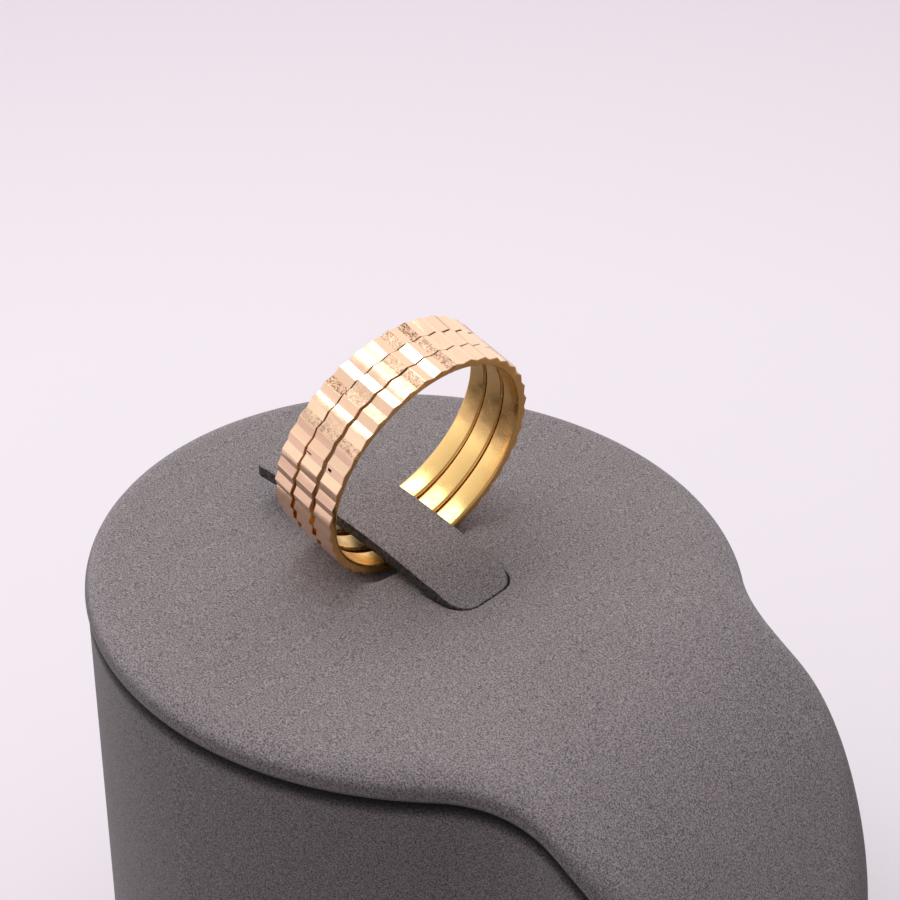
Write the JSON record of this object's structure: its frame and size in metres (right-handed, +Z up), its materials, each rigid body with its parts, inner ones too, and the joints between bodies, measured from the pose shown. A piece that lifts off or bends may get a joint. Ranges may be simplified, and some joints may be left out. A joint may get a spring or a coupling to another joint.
{
  "type": "stackable ring on a display stand",
  "caption": "Stack of narrow ridged gold rings hung upright on the springy tongue of a suede display stand with a round tower and a lower lobe.",
  "frame": {"origin": "on the surface that the stand rests on, at the middle of the whole part's box", "axes": "+Z up, +X along the stand from its round tower to its low lobe, +Y across it"},
  "size_m": [0.0624, 0.0482, 0.0586],
  "materials": {
    "gold": "pale gold, diamond cut outside and polished inside",
    "suede": "fine grey suede cloth, matte"
  },
  "bodies": {
    "root": {"band_front": "gold", "band_middle": "gold", "band_back": "gold", "stand_column": "suede", "stand_pad": "suede", "stand_tongue": "suede"}
  },
  "joints": []
}
